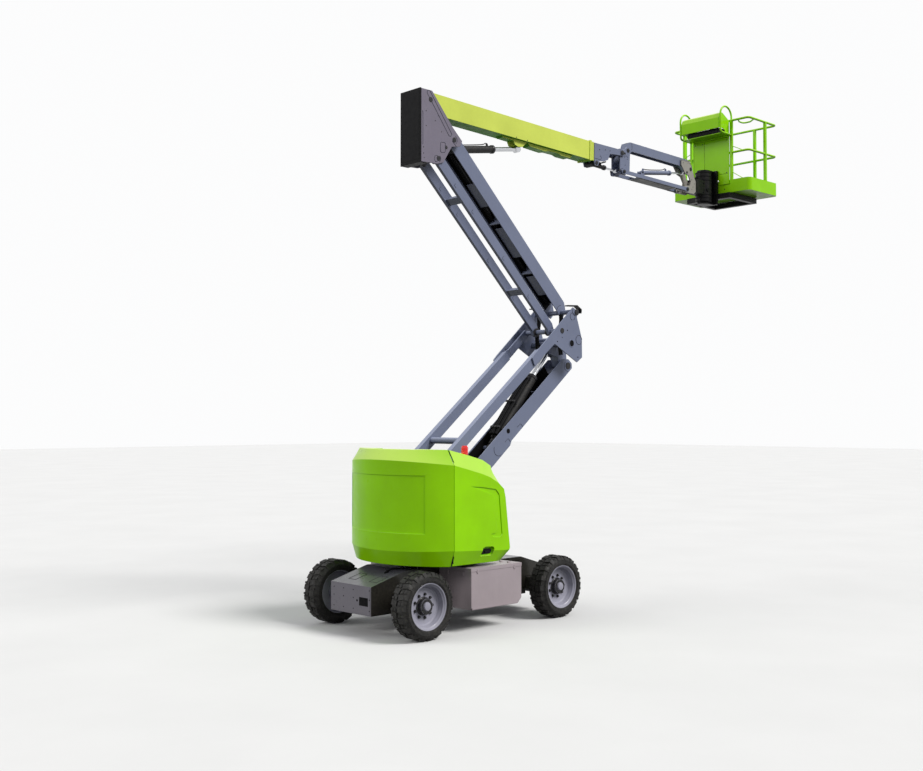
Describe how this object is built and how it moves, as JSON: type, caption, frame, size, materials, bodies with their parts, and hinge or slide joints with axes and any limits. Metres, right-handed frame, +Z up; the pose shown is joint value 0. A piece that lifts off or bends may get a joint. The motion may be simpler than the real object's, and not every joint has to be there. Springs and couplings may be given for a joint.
{
  "type": "articulating boom lift",
  "caption": "Battery-powered articulating boom lift with a folding double arm, telescoping boom, short jib and a railed work platform on four lugged tyres.",
  "frame": {"origin": "On the ground below the slewing axis, midway between the axles on the centreline.", "axes": "+X towards the platform, +Y to the machine's left, +Z up."},
  "size_m": [7.6419, 1.7554, 6.9523],
  "materials": {
    "chassis_grey": "gloss",
    "box_grey": "gloss",
    "arm_grey": "satin",
    "lime": "gloss",
    "boom_lime": "gloss",
    "black_paint": "satin",
    "iron": "rough",
    "rim_grey": "gloss",
    "rubber": "matte",
    "chrome": "polished",
    "red_lamp": "gloss",
    "black_plastic": "matte"
  },
  "bodies": {
    "chassis": {"chassis_frame": "chassis_grey", "battery_boxes": "box_grey", "axles": "iron", "slew_ring": "iron"},
    "turntable": {"turntable": "black_paint", "tail_cowl": "lime", "counterweight": "iron"},
    "door_left": {"side_door_left": "lime"},
    "door_right": {"side_door_right": "lime", "beacon": "red_lamp"},
    "tie_rod": {"tie_rod": "iron"},
    "lower_arm": {"lower_arm": "arm_grey"},
    "lower_link": {"lower_link": "arm_grey"},
    "elbow": {"elbow": "arm_grey", "elbow_guard": "black_paint"},
    "upper_arm": {"upper_arm": "arm_grey"},
    "upper_ladder": {"upper_ladder": "arm_grey"},
    "upright": {"upright": "arm_grey", "upright_cover": "black_paint"},
    "boom": {"boom": "boom_lime"},
    "fly": {"fly_boom": "arm_grey"},
    "jib_rear": {"jib_rear_bracket": "arm_grey"},
    "jib_low": {"jib_low_arm": "arm_grey"},
    "jib_top": {"jib_top_arm": "arm_grey"},
    "jib_front": {"jib_front_bracket": "arm_grey", "rotator": "black_paint"},
    "platform": {"platform_support": "black_paint", "platform_floor": "lime", "platform_rails": "lime", "console": "lime", "console_box": "black_plastic"},
    "gate": {"gate": "lime"},
    "knuckle_left": {"knuckle_left": "iron"},
    "wheel_front_left": {"tyre_front_left": "rubber", "rim_front_left": "rim_grey"},
    "wheel_rear_left": {"tyre_rear_left": "rubber", "rim_rear_left": "rim_grey"},
    "knuckle_right": {"knuckle_right": "iron"},
    "wheel_front_right": {"tyre_front_right": "rubber", "rim_front_right": "rim_grey"},
    "wheel_rear_right": {"tyre_rear_right": "rubber", "rim_rear_right": "rim_grey"},
    "lift_barrel": {"lift_barrel": "black_paint"},
    "lift_rod": {"lift_rod": "chrome"},
    "boom_barrel": {"boom_barrel": "black_paint"},
    "boom_rod": {"boom_rod": "chrome"},
    "level_barrel": {"level_barrel": "black_paint"},
    "level_rod": {"level_rod": "chrome"},
    "jib_barrel": {"jib_barrel": "black_paint"},
    "jib_rod": {"jib_rod": "chrome"}
  },
  "joints": [
    {"name": "steer_left", "type": "hinge", "parent": "chassis", "child": "knuckle_left", "pos_m": [-1.05, 0.545, 0.36], "axis": [0, 0, 1], "range_deg": [-35, 35]},
    {"name": "wheel_front_left", "type": "hinge", "parent": "knuckle_left", "child": "wheel_front_left", "pos_m": [-1.05, 0.755, 0.36], "axis": [0, 1, 0], "continuous": true},
    {"name": "wheel_rear_left", "type": "hinge", "parent": "chassis", "child": "wheel_rear_left", "pos_m": [1.05, 0.755, 0.36], "axis": [0, 1, 0], "continuous": true},
    {"name": "steer_right", "type": "hinge", "parent": "chassis", "child": "knuckle_right", "pos_m": [-1.05, -0.545, 0.36], "axis": [0, 0, 1], "range_deg": [-35, 35]},
    {"name": "wheel_front_right", "type": "hinge", "parent": "knuckle_right", "child": "wheel_front_right", "pos_m": [-1.05, -0.755, 0.36], "axis": [0, 1, 0], "continuous": true},
    {"name": "wheel_rear_right", "type": "hinge", "parent": "chassis", "child": "wheel_rear_right", "pos_m": [1.05, -0.755, 0.36], "axis": [0, 1, 0], "continuous": true},
    {"name": "tie_rod", "type": "hinge", "parent": "knuckle_left", "child": "tie_rod", "pos_m": [-0.9, 0.545, 0.307], "axis": [0, 0, 1], "range_deg": [-35, 35]},
    {"name": "slew", "type": "hinge", "parent": "chassis", "child": "turntable", "pos_m": [0, 0, 0.742], "axis": [0, 0, 1], "range_deg": [-177, 177]},
    {"name": "door_left", "type": "hinge", "parent": "turntable", "child": "door_left", "pos_m": [-0.55, 0.5, 1.89], "axis": [1, 0, 0], "range_deg": [0, 60]},
    {"name": "door_right", "type": "hinge", "parent": "turntable", "child": "door_right", "pos_m": [-0.55, -0.5, 1.89], "axis": [1, 0, 0], "range_deg": [-60, 0]},
    {"name": "lower_arm", "type": "hinge", "parent": "turntable", "child": "lower_arm", "pos_m": [-0.082, 0, 1.292], "axis": [0, -1, 0], "range_deg": [-39, 30]},
    {"name": "lower_link", "type": "hinge", "parent": "turntable", "child": "lower_link", "pos_m": [-0.432, 0, 1.712], "axis": [0, -1, 0], "range_deg": [-39, 30]},
    {"name": "elbow", "type": "hinge", "parent": "lower_arm", "child": "elbow", "pos_m": [2.02031, 0, 3.0005], "axis": [0, -1, 0], "range_deg": [-30, 39]},
    {"name": "upper_arm", "type": "hinge", "parent": "elbow", "child": "upper_arm", "pos_m": [1.92031, 0, 3.6755], "axis": [0, -1, 0], "range_deg": [-30, 39]},
    {"name": "upper_ladder", "type": "hinge", "parent": "elbow", "child": "upper_ladder", "pos_m": [1.67031, 0, 3.4205], "axis": [0, -1, 0], "range_deg": [-30, 39]},
    {"name": "upright", "type": "hinge", "parent": "upper_arm", "child": "upright", "pos_m": [-0.03166, 0, 5.55393], "axis": [0, -1, 0], "range_deg": [-39, 30]},
    {"name": "boom", "type": "hinge", "parent": "upright", "child": "boom", "pos_m": [-0.40166, 0, 5.95393], "axis": [0, 1, 0], "range_deg": [-70, 10]},
    {"name": "boom_extension", "type": "slide", "parent": "boom", "child": "fly", "axis": [0.9996, 0, -0.0279], "range_m": [0, 1.9]},
    {"name": "jib_level", "type": "hinge", "parent": "fly", "child": "jib_rear", "pos_m": [3.19545, 0, 5.94348], "axis": [0, 1, 0], "range_deg": [-10, 70]},
    {"name": "jib", "type": "hinge", "parent": "jib_rear", "child": "jib_low", "pos_m": [3.22545, 0, 5.69149], "axis": [0, -1, 0], "range_deg": [-60, 60]},
    {"name": "jib_top", "type": "hinge", "parent": "jib_rear", "child": "jib_top", "pos_m": [3.35045, 0, 6.00349], "axis": [0, -1, 0], "range_deg": [-60, 60]},
    {"name": "jib_front", "type": "hinge", "parent": "jib_low", "child": "jib_front", "pos_m": [4.70512, 0, 5.66049], "axis": [0, -1, 0], "range_deg": [-60, 60]},
    {"name": "platform_turn", "type": "hinge", "parent": "jib_front", "child": "platform", "pos_m": [5.26512, 0, 5.55049], "axis": [0, 0, 1], "range_deg": [-90, 90]},
    {"name": "gate", "type": "hinge", "parent": "platform", "child": "gate", "pos_m": [5.76912, 0.655, 6.3], "axis": [0, 0, 1], "range_deg": [-90, 0]},
    {"name": "lift_cylinder", "type": "hinge", "parent": "lower_arm", "child": "lift_barrel", "pos_m": [0.74837, 0, 1.96682], "axis": [0, -1, 0], "range_deg": [-0.79, 0.61]},
    {"name": "lift_cylinder_stroke", "type": "slide", "parent": "lift_barrel", "child": "lift_rod", "axis": [0.6416, 0, 0.767], "range_m": [-0.2062, 0.1591]},
    {"name": "boom_cylinder", "type": "hinge", "parent": "upright", "child": "boom_barrel", "pos_m": [-0.15996, 0, 5.44603], "axis": [0, -1, 0], "range_deg": [-9.39, 65.75]},
    {"name": "boom_cylinder_stroke", "type": "slide", "parent": "boom_barrel", "child": "boom_rod", "axis": [0.9856, 0, 0.1688], "range_m": [-0.0962, 0.6617]},
    {"name": "level_cylinder", "type": "hinge", "parent": "fly", "child": "level_barrel", "pos_m": [2.64504, 0, 5.72177], "axis": [0, -1, 0], "range_deg": [-4.14, 28.99]},
    {"name": "level_cylinder_stroke", "type": "slide", "parent": "level_barrel", "child": "level_rod", "axis": [0.9994, 0, -0.0351], "range_m": [-0.1669, 0.0256]},
    {"name": "jib_cylinder", "type": "hinge", "parent": "jib_low", "child": "jib_barrel", "pos_m": [3.73116, 0, 5.76791], "axis": [0, -1, 0], "range_deg": [-7.27, 7.27]},
    {"name": "jib_cylinder_stroke", "type": "slide", "parent": "jib_barrel", "child": "jib_rod", "axis": [0.9898, 0, 0.1425], "range_m": [-0.2638, 0.2638]}
  ],
  "couplings": [
    {"joint": "steer_right", "follows": "steer_left", "ratio": 1},
    {"joint": "tie_rod", "follows": "steer_left", "ratio": -1},
    {"joint": "lower_link", "follows": "lower_arm", "ratio": 1},
    {"joint": "elbow", "follows": "lower_arm", "ratio": -1},
    {"joint": "upper_arm", "follows": "lower_arm", "ratio": -1},
    {"joint": "upper_ladder", "follows": "lower_arm", "ratio": -1},
    {"joint": "upright", "follows": "lower_arm", "ratio": 1},
    {"joint": "jib_level", "follows": "boom", "ratio": -1},
    {"joint": "jib_top", "follows": "jib", "ratio": 1},
    {"joint": "jib_front", "follows": "jib", "ratio": -1},
    {"joint": "lift_cylinder", "follows": "lower_arm", "ratio": 0.02},
    {"joint": "lift_cylinder_stroke", "follows": "lower_arm", "m_per_rad": 0.3},
    {"joint": "boom_cylinder", "follows": "boom", "ratio": -0.93},
    {"joint": "boom_cylinder_stroke", "follows": "boom", "m_per_rad": -0.54},
    {"joint": "level_cylinder", "follows": "boom", "ratio": -0.41},
    {"joint": "level_cylinder_stroke", "follows": "boom", "m_per_rad": 0.135},
    {"joint": "jib_cylinder", "follows": "jib", "ratio": -0.12},
    {"joint": "jib_cylinder_stroke", "follows": "jib", "m_per_rad": 0.25}
  ]
}
